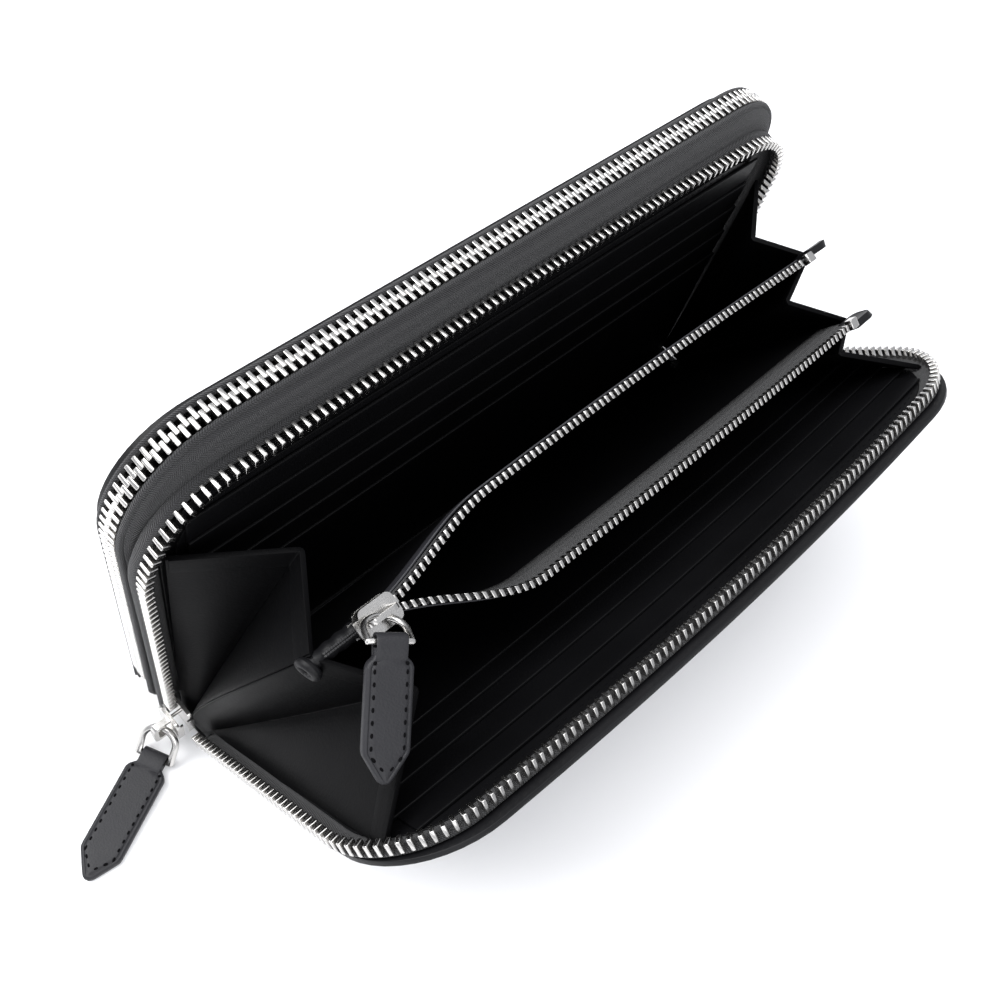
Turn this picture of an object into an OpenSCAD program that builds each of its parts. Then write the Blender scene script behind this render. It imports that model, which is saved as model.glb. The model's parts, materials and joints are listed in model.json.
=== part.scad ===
/* [Overall] */
// Length of the wallet over its zip teeth
wallet_len = 200; // [190:1:220]
// Height of the closed compartment over its zip teeth
wallet_h = 108; // [104:1:116]
// Width of the flat spine that the wallet stands on
spine_w = 30.8; // [28:0.2:32]
// Radius of the zip's upper corners
corner_r = 24; // [20:1:28]

/* [Opening] */
// Lean of the front cover from upright
cover_lean = 43; // [36:1:50]
// Lean of the coin pouch's middle plane from upright
pouch_lean = 21.5; // [20:0.5:24]
// Angle of the pouch's back wall behind the pouch's middle plane
mouth_back = 4.3; // [3.5:0.1:5]
// Angle of the pouch's front wall in front of the pouch's middle plane
mouth_front = 10.3; // [9:0.1:11]

/* [Leather] */
// Thickness of the spine's leather and stiffener
spine_t = 1.8; // [1.4:0.1:2]
// Thickness of the back cover's outer leather
back_t = 1.8; // [1.4:0.1:1.8]
// Thickness of the front cover's outer leather
front_t = 1.2; // [1:0.1:1.4]
// Thickness of the divider's board
divider_t = 1.2; // [0.8:0.1:1.2]
// Thickness of one card pocket leaf
pocket_t = 0.3; // [0.25:0.05:0.4]
// Thickness of a gusset's leather
gusset_t = 0.6; // [0.4:0.1:0.8]

/* [Zips] */
// Distance from one tooth to the next on the same half of the long zips
pitch = 2.1; // [2:0.1:2.6]
// Length of a long zip's tooth across the zip
tooth_len = 2.9; // [2.6:0.1:2.9]
// Width of a long zip's tooth along the zip
tooth_w = 0.95; // [0.7:0.05:0.95]
// Distance from one tooth to the next on the coin zip
coin_pitch = 1.7; // [1.6:0.1:2]

/* [Pulls] */
// Width of a long zip's leather pull
pull_w = 10.2; // [9:0.2:11]
// Length of a long zip's leather pull from its loop's pin to its tip
pull_len = 31; // [24:1:32]
// Width of the coin zip's leather pull
coin_pull_w = 9.4; // [8.6:0.2:10]
// Length of the coin zip's leather pull from its loop's pin to its tip
coin_pull_len = 26; // [22:1:28]
// Thickness of a leather pull's two layers together
pull_t = 2.6; // [2:0.2:2.8]

/* [Hidden] */
$fn = 48;

leather = [0.05, 0.05, 0.055];
lining = [0.08, 0.08, 0.085];
tape = [0.11, 0.11, 0.12];
silver = [0.82, 0.82, 0.8];

// Fold line of the front cover, where the spine's front lip turns into it
fold_y = -13.7;
fold_z = 7.5;
// Outer face of the back cover behind the divider, and face of the spine's front lip
back_face = 13.8;
lip_y = back_face - spine_w;
// Top of the front lip, and length of the spine
lip_top = 5;
foot_len = wallet_len - 8;
// Bend radii of the spine's back and front edges
back_bend = 2;
front_bend = 1.6;
// Half height of a tooth, outwards from the zip's centre line
tooth_half = 1.1;
// Centre line of the long zips' teeth
zip_w = wallet_len - 2 * tooth_half;
// Middle plane of the closed back zip, as depth behind the divider
back_zip_n = -6.5;
// Roots and tips of the closed back zip's teeth, on each side of its middle plane
back_zip_half = 2.45;
back_zip_tip = 0.55;
// Height of the open zip half on the divider
rear_zip_h = 98.6;
// Foot of the open zip's rear half, at its slider
rear_zip_y = -7;
rear_zip_z = 3;
rear_zip_tilt = -1.26;
// Height of the open zip half on the cover above the fold line
cover_zip_h = 92;
cover_zip_r = 22;
// Outer face of the front cover, in front of the fold line
cover_face = 1.24;
// Tip of the rear half's teeth, in front of that half's own plane
rear_teeth_n = -0.45;
// Lowest tooth of each long zip, just above its slider
teeth_from = 14;
// Width of a strip of zip tape that shows beside the teeth
tape_strip = 3.2;
// Strip of a wall above its tape's lower edge, and the tape's height
tape_under = 6;
coin_tape_h = 9.3;
// Thickness of a zip tape, of the cover's flat tape and of the linings behind the pockets
tape_t = 0.4;
cover_tape_t = 0.5;
cover_lining_t = 0.5;
divider_lining_t = 0.4;
// Small clearance between leather layers that lie on each other
layer_gap = 0.02;
// Tops of the card pockets on the divider and on the cover
divider_tops = [90, 82, 73.5, 64.5, 55.5];
cover_tops = [84.8, 77.9, 71.2, 65, 58.8];
// Half lengths of the card pockets
divider_pocket_half = 89.5;
cover_pocket_half = 92;
// Distance of the pouch's middle plane behind the fold line
pouch_n = -6.7;
// Pouch walls: left and right ends, lower edge and upper edge
wall_x0 = -56;
wall_x1 = 86;
wall_r0 = 3;
wall_top = 71;
wall_t = 0.8;
wall_gap = 0.9;
// Coin zip teeth: height of their middle above the fold line
coin_tooth_r = 76.7;
coin_tooth_n0 = 0.5;
coin_tooth_n1 = 2;
coin_tooth_w = 0.75;
coin_tooth_h = 2;
// Leather tabs on the mouth's right end: overlap on the tape, thickness and height
tab_len = 4;
tab_t = 1.6;
tab_h = 5.6;
// Left end of the pouch, where both walls are joined
sleeve_x = -84;
sleeve_top = 74;
coin_slider_x = -75;
// Gussets' edge on the sewn end
sewn_x = -85.4;
// Long slider: length, width, thickness of a plate and space between the plates
slider_len = 10.5;
slider_w = 7.8;
plate_t = 0.9;
channel = 2.9;
// Coin slider: length, width and space between the plates
coin_slider_len = 10;
coin_slider_w = 6.2;
coin_channel = 2.6;
// Slot at a slider's sides that the tapes pass through
tape_slot = 1.2;
// Bridges on the long and the coin sliders: height, plate thickness and half width
bridge_h = 4.4;
bridge_t = 1.1;
bridge_half = 0.8;
coin_bridge_t = 0.75;
coin_bridge_half = 0.55;
// Rings of the long and the coin sliders: centre radius, wire radius and straight legs
ring_r = 4.25;
wire_r = 0.85;
coin_wire_r = 0.7;
ring_leg = 4.6;
coin_ring_leg = 3;
// Ring's wire above the slider's outer plate
ring_lift = 1.65;
// Height of a ring's pin when its pull lies on the floor
pin_z = 1.6;
// Swing of the main ring to the front, and of the coin ring from the zip's line
main_yaw = 26;
coin_yaw = 42;
// Tilt of the coin ring up from its slider, and of its pull down from the ring
coin_ring_up = 45;
coin_pull_down = 58;

// Upright frame: x along the wallet, y up from the floor, z towards the front
module upright() {
    rotate([90, 0, 0]) children();
}

// A leaf that turns about the fold line: y away from the fold, z towards the front
module leaf(lean) {
    translate([0, fold_y, fold_z]) rotate([lean + 90, 0, 0]) children();
}

// The pouch's leaf, turned from its middle plane for one of its walls
module pouch_leaf(turn = 0) {
    leaf(pouch_lean + turn) children();
}

// Plane of the open zip half on the divider, y up from its slider
module rear_zip_leaf() {
    translate([0, rear_zip_y, rear_zip_z]) rotate([rear_zip_tilt + 90, 0, 0]) children();
}

// Panel outline with round upper corners
module panel(w, h, r, foot = 0) {
    translate([-w / 2, foot]) square([w, h - r - foot]);
    translate([-w / 2 + r, foot]) square([w - 2 * r, h - foot]);
    for (side = [-1, 1]) translate([side * (w / 2 - r), h - r]) circle(r, $fn = 96);
}

// A flat panel between two depths
module sheet(w, h, r, foot, n0, n1) {
    translate([0, 0, n0]) linear_extrude(n1 - n0) panel(w, h, r, foot);
}

// Sweeps a section round three sides: section x is outwards, section y is depth
module three_sides(w, h, r, foot) {
    for (side = [0, 1]) mirror([side, 0, 0]) {
        translate([w / 2, h - r, 0]) rotate([90, 0, 0]) linear_extrude(h - r - foot) children();
        translate([w / 2 - r, h - r, 0]) rotate_extrude(angle = 90, $fn = 96) translate([r, 0]) children();
    }
    translate([-w / 2 + r, h, 0]) rotate([90, 0, 90]) linear_extrude(w - 2 * r) children();
}

// Places children along three sides, one to each step, from the given phase
module along_three_sides(w, h, r, foot, step, phase) {
    side_len = h - r - foot;
    arc_len = PI * r / 2;
    top_len = w - 2 * r;
    a1 = side_len + arc_len;
    a2 = a1 + top_len;
    a3 = a2 + arc_len;
    total = a3 + side_len;
    count = floor(total / step);
    for (i = [0 : count - 1]) {
        s = (i + 0.25 + phase) * total / count;
        turn1 = (s - side_len) / r * 180 / PI;
        turn2 = (s - a2) / r * 180 / PI;
        if (s < side_len)
            translate([-w / 2, foot + s, 0]) rotate([0, 0, 180]) children();
        else if (s < a1)
            translate([-w / 2 + r, h - r, 0]) rotate([0, 0, 180 - turn1]) translate([r, 0, 0]) children();
        else if (s < a2)
            translate([-w / 2 + r + s - a1, h, 0]) rotate([0, 0, 90]) children();
        else if (s < a3)
            translate([w / 2 - r, h - r, 0]) rotate([0, 0, 90 - turn2]) translate([r, 0, 0]) children();
        else
            translate([w / 2, h - r - (s - a3), 0]) children();
    }
}

// Section of a tape: straight out from the teeth past the slider, then curved in to its leather
module tape_section(reach, side, t = tape_t) {
    straight = 1.35;
    bow = 0.85;
    outer = [for (i = [0 : 5]) [reach * (cos(i * 18) - 1), side * (straight + bow * sin(i * 18))]];
    inner = [for (i = [5 : -1 : 0])
        [(reach - t) * (cos(i * 18) - 1) - t, side * (straight + (bow - t) * sin(i * 18))]];
    polygon(concat([[0, 0]], outer, inner, [[-t, 0]]));
}

// A tooth of a long zip, across the zip from one depth to another
module tooth(from, to) {
    translate([-tooth_half, -tooth_w / 2, min(from, to)]) cube([2 * tooth_half, tooth_w, abs(to - from)]);
}

// Quarter of a ring below its centre, towards one side
module bend(r, t, side) {
    difference() {
        intersection() {
            circle(r);
            translate([side > 0 ? 0 : -r, -r]) square(r);
        }
        circle(r - t);
    }
}

// Outer leather round the wallet's foot, flat below and turned up at both edges
module spine() {
    color(leather) translate([-foot_len / 2, 0, 0]) rotate([90, 0, 90]) linear_extrude(foot_len) {
        translate([lip_y + front_bend, 0]) square([spine_w - front_bend - back_bend, spine_t]);
        translate([back_face - back_t, back_bend]) square([back_t, 4]);
        translate([lip_y, front_bend]) square([front_t, lip_top - front_bend]);
        translate([back_face - back_bend, back_bend]) bend(back_bend, back_t, 1);
        translate([lip_y + front_bend, front_bend]) bend(front_bend, front_t, -1);
    }
}

// Thin lining on the spine's inner face, from the front lip to the divider
module spine_lining() {
    front = lip_y + front_t + 0.3;
    back = -divider_t / 2 - 0.1;
    color(lining) translate([-foot_len / 2 + 2, front, spine_t + layer_gap])
        cube([foot_len - 4, back - front, 0.5]);
}

module back_cover() {
    color(leather) upright()
        sheet(wallet_len - 5, wallet_h - 6, corner_r - 2, 6.1, -back_face, -back_face + back_t);
}

module back_lining() {
    n0 = -back_face + back_t + 0.05;
    color(lining) upright() sheet(wallet_len - 12, wallet_h - 15, corner_r - 8, 2.4, n0, n0 + 0.7);
}

module divider() {
    half = divider_t / 2;
    color(leather) upright() sheet(wallet_len - 13, 93.2, 18, spine_t + 0.1, -half, half);
}

module divider_back_lining() {
    half = divider_t / 2;
    color(lining) upright() sheet(wallet_len - 18, 88, 16, 3, -half - 0.5, -half);
}

module divider_lining() {
    half = divider_t / 2;
    color(lining) upright() sheet(2 * divider_pocket_half, 90.6, 14, 3, half, half + divider_lining_t);
}

// One card pocket leaf of the divider; each lower one lies in front of the one above
module divider_pocket(k) {
    n0 = divider_t / 2 + divider_lining_t + k * pocket_t;
    top = divider_tops[k] - (k == 0 ? 1.5 : 0);
    color(leather) upright() translate([-divider_pocket_half + 2, 4, n0])
        cube([2 * divider_pocket_half - 4, top - 4, pocket_t]);
}

// The closed back zip: one tape and one row of teeth on each side of its middle plane
module back_zip_tape(side) {
    color(tape) upright() translate([0, 0, back_zip_n + side * back_zip_half])
        three_sides(zip_w, wallet_h - tooth_half, corner_r, teeth_from) tape_section(7.5, side);
}

module back_zip_teeth(side) {
    reach = back_zip_n + side * back_zip_tip;
    root = back_zip_n + side * (back_zip_half - layer_gap);
    color(silver) upright()
        along_three_sides(zip_w, wallet_h - tooth_half, corner_r, teeth_from, pitch, side > 0 ? 0 : 0.5)
            tooth(reach, root);
}

// The open zip's rear half, which stands in front of the divider's edge
module front_zip_tape_rear() {
    color(tape) rear_zip_leaf() translate([0, 0, rear_teeth_n - tooth_len - layer_gap])
        three_sides(zip_w, rear_zip_h - rear_zip_z, 21, teeth_from - rear_zip_z) tape_section(5.1, -1);
}

module front_zip_teeth_rear() {
    color(silver) rear_zip_leaf()
        along_three_sides(zip_w, rear_zip_h - rear_zip_z, 21, teeth_from - rear_zip_z, pitch, 0)
            tooth(rear_teeth_n, rear_teeth_n - tooth_len);
}

module front_cover() {
    color(leather) leaf(cover_lean)
        sheet(wallet_len - 3, cover_zip_h + 4.9, cover_zip_r + 2, 2.6, cover_face - front_t, cover_face);
}

// The leather hinge between the spine's front lip and the cover
module front_fold() {
    fold_len = foot_len - 2;
    s = sin(cover_lean);
    c = cos(cover_lean);
    o = cover_face;
    i = cover_face - front_t + 0.2;
    color(leather) translate([-fold_len / 2, 0, 0]) rotate([90, 0, 90]) linear_extrude(fold_len)
        polygon([
            [lip_y, lip_top + 0.1],
            [lip_y + 0.2, 7],
            [fold_y - 2.3 * s - o * c, fold_z + 2.3 * c - o * s],
            [fold_y - 2.3 * s - i * c, fold_z + 2.3 * c - i * s],
            [fold_y + 0.2, fold_z - 0.3],
            [lip_y + 1.2, lip_top + 0.1]
        ]);
}

module cover_lining() {
    n1 = cover_face - front_t;
    color(lining) leaf(cover_lean)
        sheet(zip_w - 2 * tape_strip - 1, cover_zip_h - tape_strip - 0.5, 18, 4, n1 - cover_lining_t, n1);
}

module cover_pocket(k) {
    n1 = cover_face - front_t - cover_lining_t - k * pocket_t;
    half = cover_pocket_half - (k == 0 ? 5 : 0);
    color(leather) leaf(cover_lean) translate([-half, 5, n1 - pocket_t])
        cube([2 * half, cover_tops[k] - 5, pocket_t]);
}

module front_zip_tape_cover() {
    n1 = cover_face - front_t;
    color(tape) leaf(cover_lean) three_sides(zip_w, cover_zip_h, cover_zip_r, 7)
        translate([-tape_strip, n1 - cover_tape_t]) square([tape_strip + 0.9, cover_tape_t]);
}

module front_zip_teeth_cover() {
    n1 = cover_face - front_t - cover_tape_t - layer_gap;
    color(silver) leaf(cover_lean) along_three_sides(zip_w, cover_zip_h, cover_zip_r, 7, pitch, 0.5)
        tooth(n1 - tooth_len, n1);
}

// Binding that joins the pouch's two walls at their foot
module pouch_base() {
    color(leather) pouch_leaf() translate([wall_x0, -0.8, pouch_n - 1.2])
        cube([wall_x1 - wall_x0, 2.4, 2.4]);
}

// Left end of the pouch, where the two walls are sewn together
module pouch_sleeve() {
    color(leather) pouch_leaf() translate([0, 0, pouch_n - 1.1]) linear_extrude(2.2)
        polygon([
            [wall_x0 - 0.6, wall_r0],
            [wall_x0 - 0.6, sleeve_top],
            [sleeve_x, sleeve_top],
            [sleeve_x, sleeve_top - 6],
            [sleeve_x + 6, wall_r0]
        ]);
}

// Knotted leather end of the pouch's mouth
module pouch_knot() {
    color(leather) pouch_leaf() translate([sleeve_x - 4.2, sleeve_top - 1.5, pouch_n]) rotate([0, 90, 0])
        cylinder(r = 2.1, h = 4);
}

// Puts a slab of a pouch wall at its depths from the pouch's middle plane
module wall_slab(side, n0, n1) {
    pouch_leaf(side > 0 ? mouth_front : -mouth_back) translate([0, 0, side > 0 ? pouch_n + n0 : pouch_n - n1])
        linear_extrude(n1 - n0) children();
}

module pouch_wall(side) {
    color(leather) wall_slab(side, wall_gap, wall_gap + wall_t)
        translate([wall_x0, wall_r0]) square([wall_x1 - wall_x0, wall_top - wall_r0]);
}

module coin_tape(side) {
    color(tape) wall_slab(side, wall_gap - tape_t - layer_gap, wall_gap - layer_gap)
        translate([wall_x0, wall_top - tape_under]) square([wall_x1 - wall_x0 - tab_len, coin_tape_h]);
}

module coin_teeth(side) {
    row = wall_x1 - wall_x0 - 12;
    count = floor(row / coin_pitch);
    color(silver) wall_slab(side, coin_tooth_n0, coin_tooth_n1) for (i = [0 : count - 1])
        translate([wall_x0 + 4 + (i + (side > 0 ? 0.5 : 0)) * coin_pitch, coin_tooth_r - coin_tooth_h / 2])
            square([coin_tooth_w, coin_tooth_h]);
}

// Metal stop that ends a row of the coin zip
module coin_stop(side) {
    color(silver) wall_slab(side, coin_tooth_n0, coin_tooth_n1)
        translate([wall_x1 - tab_len - 3, coin_tooth_r - coin_tooth_h / 2]) square([2.6, coin_tooth_h]);
}

// Small leather tab that closes the tape's right end
module pouch_tab(side) {
    color(leather) wall_slab(side, wall_gap, wall_gap + tab_t)
        translate([wall_x1 - tab_len, wall_top + 0.1]) {
        square([tab_len + 1, tab_h]);
        translate([tab_len + 1, tab_h / 2]) circle(tab_h / 2);
    }
}

// Slider in the xy plane: x across the zip, y along it to where the rows part, z outwards
module slider(len, w, gap, arch_t, arch_half) {
    body = gap / 2 + plate_t;
    taper = 1.4;
    wall = 0.45;
    difference() {
        translate([0, 0, -body]) linear_extrude(2 * body) {
            translate([-w / 2, len * 0.3]) square([w, len * 0.55]);
            translate([-w / 2 + taper, 0]) square([w - 2 * taper, len]);
            for (side = [-1, 1]) {
                translate([side * (w / 2 - taper), len * 0.3]) circle(taper);
                translate([side * (w / 2 - taper), len * 0.85]) circle(taper);
            }
        }
        translate([-w / 2 + wall, -1, -gap / 2]) cube([w - 2 * wall, len + 2, gap]);
        translate([-w, -1, -tape_slot / 2]) cube([2 * w, len + 2, tape_slot]);
    }
    translate([0, len - 1.6, -gap / 2]) cylinder(r = wall, h = gap);
    translate([0, len / 2, body]) bridge(len * 0.72, arch_t, arch_half);
}

// Arch on the slider that holds the ring
module bridge(span, t, half) {
    translate([-half, 0, 0]) rotate([90, 0, 90]) linear_extrude(2 * half) difference() {
        union() {
            translate([-span / 2, -0.3]) square([span, bridge_h - 1.2]);
            translate([-span / 2 + 1.5, -0.3]) square([span - 3, bridge_h + 0.3]);
            for (side = [-1, 1]) translate([side * (span / 2 - 1.5), bridge_h - 1.5]) circle(1.5);
        }
        translate([-span / 2 + t, 0]) square([span - 2 * t, bridge_h - t]);
    }
}

// Ring whose wire passes through the origin, with its pull's pin towards -y
module ring(leg, wire) {
    translate([0, -ring_r, 0]) {
        rotate_extrude(angle = 180) translate([ring_r, 0]) circle(wire, $fn = 24);
        for (side = [-1, 1]) {
            translate([side * ring_r, 0, 0]) rotate([90, 0, 0]) cylinder(r = wire, h = leg, $fn = 24);
            translate([side * ring_r, -leg, 0]) sphere(wire, $fn = 24);
        }
        translate([-ring_r, -leg, 0]) rotate([0, 90, 0]) cylinder(r = wire, h = 2 * ring_r, $fn = 24);
    }
}

// Leather pull: folded round the ring's pin at the origin, with its tip towards -y
module pull(w, len) {
    neck = 2 * (ring_r - wire_r) - 0.8;
    tip = 0.7 * w;
    shoulder = 2.6;
    overlap = 0.4;
    difference() {
        union() {
            translate([-neck / 2, 0, 0]) rotate([0, 90, 0]) cylinder(r = pull_t / 2 + 0.2, h = neck);
            translate([0, 0, -pull_t / 2]) linear_extrude(pull_t) {
                translate([-neck / 2, -shoulder]) square([neck, shoulder]);
                polygon([
                    [-neck / 2, -shoulder + overlap],
                    [neck / 2, -shoulder + overlap],
                    [w / 2, -shoulder - 1.2],
                    [w / 2, -len + tip],
                    [0, -len],
                    [-w / 2, -len + tip],
                    [-w / 2, -shoulder - 1.2]
                ]);
            }
        }
        translate([-neck, 0, 0]) rotate([0, 90, 0]) cylinder(r = wire_r + 0.15, h = 2 * neck);
    }
}

// Frames of the three sliders, each at the end of its travel
module at_main_slider() {
    rear_zip_leaf() translate([-zip_w / 2, 0.5, 0]) rotate([0, -90, 0]) children();
}

module at_back_slider() {
    upright() translate([zip_w / 2, rear_zip_z + 0.5 + slider_len, back_zip_n])
        rotate([0, 90, 0]) rotate([0, 0, 180]) children();
}

module at_coin_slider() {
    pouch_leaf() translate([coin_slider_x, coin_tooth_r, pouch_n]) rotate([-90, -90, 0]) children();
}

// Place in a slider's bridge where a ring's wire hangs
module at_ring(len, gap) {
    translate([0, len / 2, gap / 2 + plate_t + ring_lift]) children();
}

// Place of the pin that a pull turns on, from its ring
module at_pin(leg) {
    translate([0, -ring_r - leg, 0]) children();
}

// Lean of a lower ring away from its slider, so that its pull lies on the floor
hang_z = rear_zip_z + 0.5 + slider_len / 2;
ring_out = acos((hang_z - pin_z) / (ring_r + ring_leg));

module main_ring_frame() {
    at_main_slider() at_ring(slider_len, channel)
        rotate([0, main_yaw, 0]) rotate([-ring_out, 0, 0]) children();
}

module back_ring_frame() {
    at_back_slider() at_ring(slider_len, channel) rotate([ring_out - 180, 0, 0]) children();
}

module coin_ring_frame() {
    at_coin_slider() at_ring(coin_slider_len, coin_channel)
        rotate([0, 0, 90 - coin_yaw]) rotate([-coin_ring_up, 0, 0]) children();
}

module main_slider() {
    color(silver) at_main_slider()
        slider(slider_len, slider_w, channel, bridge_t, bridge_half);
}

module main_ring() {
    color(silver) main_ring_frame() ring(ring_leg, wire_r);
}

module main_pull() {
    color(leather) main_ring_frame() at_pin(ring_leg) rotate([ring_out - 90, 0, 0])
        pull(pull_w, pull_len);
}

module back_slider() {
    color(silver) at_back_slider() slider(slider_len, slider_w, channel, bridge_t, bridge_half);
}

module back_ring() {
    color(silver) back_ring_frame() ring(ring_leg, wire_r);
}

module back_pull() {
    color(leather) back_ring_frame() at_pin(ring_leg) rotate([90 - ring_out, 0, 0])
        pull(pull_w, pull_len);
}

module coin_slider() {
    color(silver) at_coin_slider()
        slider(coin_slider_len, coin_slider_w, coin_channel, coin_bridge_t, coin_bridge_half);
}

module coin_ring() {
    color(silver) coin_ring_frame() ring(coin_ring_leg, coin_wire_r);
}

module coin_pull() {
    color(leather) coin_ring_frame() at_pin(coin_ring_leg) rotate([coin_pull_down, 0, 0])
        pull(coin_pull_w, coin_pull_len);
}

// A small block at a corner of a gusset's plate
module corner(p) {
    translate(p) cube(gusset_t, center = true);
}

// A folded gusset: plates from edge to fold and from fold to edge, each upper point over its lower one
module folded(tops, feet) {
    for (i = [0 : len(tops) - 2]) hull() {
        corner(tops[i]);
        corner(tops[i + 1]);
        corner(feet[i]);
        corner(feet[i + 1]);
    }
}

// Ends of the gussets on the pouch: on its sewn end at the left, on its two walls at the right
function on_sewn_end(r, turn) = leaf_point(pouch_lean, sewn_x, r, pouch_n + 0.8 * turn);
function on_back_wall(r) = leaf_point(pouch_lean - mouth_back, wall_x1 + 1.2, r, pouch_n - 2.4);
function on_front_wall(r) = leaf_point(pouch_lean + mouth_front, wall_x1 + 1.2, r, pouch_n + 2.8);

// Gusset between the divider's edge and the pouch
module gusset_rear(side) {
    end_top = side < 0 ? on_sewn_end(67, -1) : on_back_wall(70);
    end_foot = side < 0 ? on_sewn_end(14, -1) : on_back_wall(8);
    color(leather) folded(
        [[side * 93, -2.4, 76], [side * 77, -16, 75], end_top],
        [[side * 94, -3.6, 16], [side * 90.5, -6.5, 15], end_foot]
    );
}

// Gusset between the pouch and the front cover's edge
module gusset_front(side) {
    start_top = side < 0 ? on_sewn_end(67, 1) : on_front_wall(69);
    start_foot = side < 0 ? on_sewn_end(16, 1) : on_front_wall(10);
    color(leather) folded(
        [start_top, [side * 75, -55, 74], leaf_point(cover_lean, side * 94.6, 80, -1.4)],
        [start_foot, [side * 93.3, -17.5, 24], leaf_point(cover_lean, side * 94.6, 12, -1.4)]
    );
}

// Small gusset between the pouch's two walls at their open end
module pouch_end_gusset() {
    color(leather) folded(
        [
            leaf_point(pouch_lean - mouth_back, wall_x1 - 1, 64, pouch_n - 0.1),
            leaf_point(pouch_lean, wall_x1 - 14, 66, pouch_n),
            leaf_point(pouch_lean + mouth_front, wall_x1 - 1, 64, pouch_n + 0.1)
        ],
        [
            leaf_point(pouch_lean - mouth_back, wall_x1 - 1, 12, pouch_n - 0.2),
            leaf_point(pouch_lean, wall_x1 - 3, 10, pouch_n),
            leaf_point(pouch_lean + mouth_front, wall_x1 - 1, 12, pouch_n + 0.2)
        ]
    );
}

// Point of a leaf in the wallet's frame
function leaf_point(lean, x, r, n) = [
    x,
    fold_y - r * sin(lean) - n * cos(lean),
    fold_z + r * cos(lean) - n * sin(lean)
];

spine();
spine_lining();
back_cover();
back_lining();
divider();
divider_back_lining();
divider_lining();
divider_pocket(0);  // divider_pocket_1
divider_pocket(1);  // divider_pocket_2
divider_pocket(2);  // divider_pocket_3
divider_pocket(3);  // divider_pocket_4
divider_pocket(4);  // divider_pocket_5
back_zip_tape(-1);  // back_zip_tape_rear
back_zip_tape(1);  // back_zip_tape_front
back_zip_teeth(-1);  // back_zip_teeth_rear
back_zip_teeth(1);  // back_zip_teeth_front
back_slider();
back_ring();
back_pull();
front_zip_tape_rear();
front_zip_teeth_rear();
main_slider();
main_ring();
main_pull();
front_cover();
front_fold();
cover_lining();
cover_pocket(0);  // cover_pocket_1
cover_pocket(1);  // cover_pocket_2
cover_pocket(2);  // cover_pocket_3
cover_pocket(3);  // cover_pocket_4
cover_pocket(4);  // cover_pocket_5
front_zip_tape_cover();
front_zip_teeth_cover();
pouch_base();
pouch_sleeve();
pouch_knot();
pouch_wall(-1);  // pouch_wall_back
pouch_wall(1);  // pouch_wall_front
coin_tape(-1);  // coin_tape_back
coin_tape(1);  // coin_tape_front
coin_teeth(-1);  // coin_teeth_back
coin_teeth(1);  // coin_teeth_front
coin_stop(-1);  // coin_stop_back
coin_stop(1);  // coin_stop_front
pouch_tab(-1);  // pouch_tab_back
pouch_tab(1);  // pouch_tab_front
coin_slider();
coin_ring();
coin_pull();
pouch_end_gusset();
gusset_rear(-1);  // gusset_rear_left
gusset_front(-1);  // gusset_front_left
gusset_rear(1);  // gusset_rear_right
gusset_front(1);  // gusset_front_right
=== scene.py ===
import json
import math
import bmesh
import bpy
import numpy as np
from mathutils import Matrix, Vector

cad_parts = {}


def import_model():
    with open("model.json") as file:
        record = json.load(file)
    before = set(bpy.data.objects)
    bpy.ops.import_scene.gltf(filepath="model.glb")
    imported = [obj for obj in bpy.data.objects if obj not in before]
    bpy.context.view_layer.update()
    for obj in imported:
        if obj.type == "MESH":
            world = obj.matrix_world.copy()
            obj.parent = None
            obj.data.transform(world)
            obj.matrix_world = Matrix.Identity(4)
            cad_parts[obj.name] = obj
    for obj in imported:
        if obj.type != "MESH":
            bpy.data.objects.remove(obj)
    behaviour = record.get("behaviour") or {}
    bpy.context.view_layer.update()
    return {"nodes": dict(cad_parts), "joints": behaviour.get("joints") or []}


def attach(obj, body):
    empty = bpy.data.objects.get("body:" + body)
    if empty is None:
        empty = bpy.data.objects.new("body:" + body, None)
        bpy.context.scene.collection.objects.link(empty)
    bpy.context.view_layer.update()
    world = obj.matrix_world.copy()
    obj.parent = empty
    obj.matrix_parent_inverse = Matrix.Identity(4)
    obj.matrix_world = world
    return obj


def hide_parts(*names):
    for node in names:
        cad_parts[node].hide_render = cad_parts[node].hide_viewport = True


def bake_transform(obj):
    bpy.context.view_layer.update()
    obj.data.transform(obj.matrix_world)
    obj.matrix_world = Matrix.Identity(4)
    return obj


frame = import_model()
MM = 0.001

# Sizes in mm, in the part's own frame: x along the wallet, -y to the opened cover, z up.
LEAN_COVER = 43.0
LEAN_POUCH = 21.5
MOUTH_BACK = 4.3
MOUTH_FRONT = 10.3
POUCH_N = -6.7
PIVOT = Vector(next(j for j in frame["joints"] if j["name"] == "pouch_hinge")["pos_m"]) / MM
ZIP_W = 197.8
BACK_ZIP_Y = 6.5
REAR_H = 95.6
COVER_H = 92.0
COVER_R = 22.0
WALL_JOIN = (-72.0, -34.0)
COIN_TURN = 6.0


def smooth(t):
    t = min(1.0, max(0.0, t))
    return t * t * (3 - 2 * t)


# ---------------------------------------------------------------- leaves

def leaf(lean, x, r, n):
    """A point of a leaf that leans about the fold line, in mm."""
    a = math.radians(lean)
    return (x, PIVOT.y - r * math.sin(a) - n * math.cos(a), PIVOT.z + r * math.cos(a) - n * math.sin(a))


def upright(x, z, n):
    return (x, -n, z)


def cover_bow(x, r):
    """How far the open cover's upper edge bellies outwards between its ends."""
    return 5.0 * (1 - min(1.0, (x / 98.0) ** 2)) * (max(0.0, r) / 97.0) ** 2


def on_cover(x, r, n):
    return leaf(LEAN_COVER, x, r, n + cover_bow(x, r) - 1.2 * (max(0.0, r) / 97.0) ** 2)


def divider_bow(x, z):
    return -2.2 * (1 - min(1.0, (x / 98.0) ** 2)) * (max(0.0, z) / 97.0) ** 2


def on_divider(x, z, n):
    return upright(x, z, n)


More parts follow.
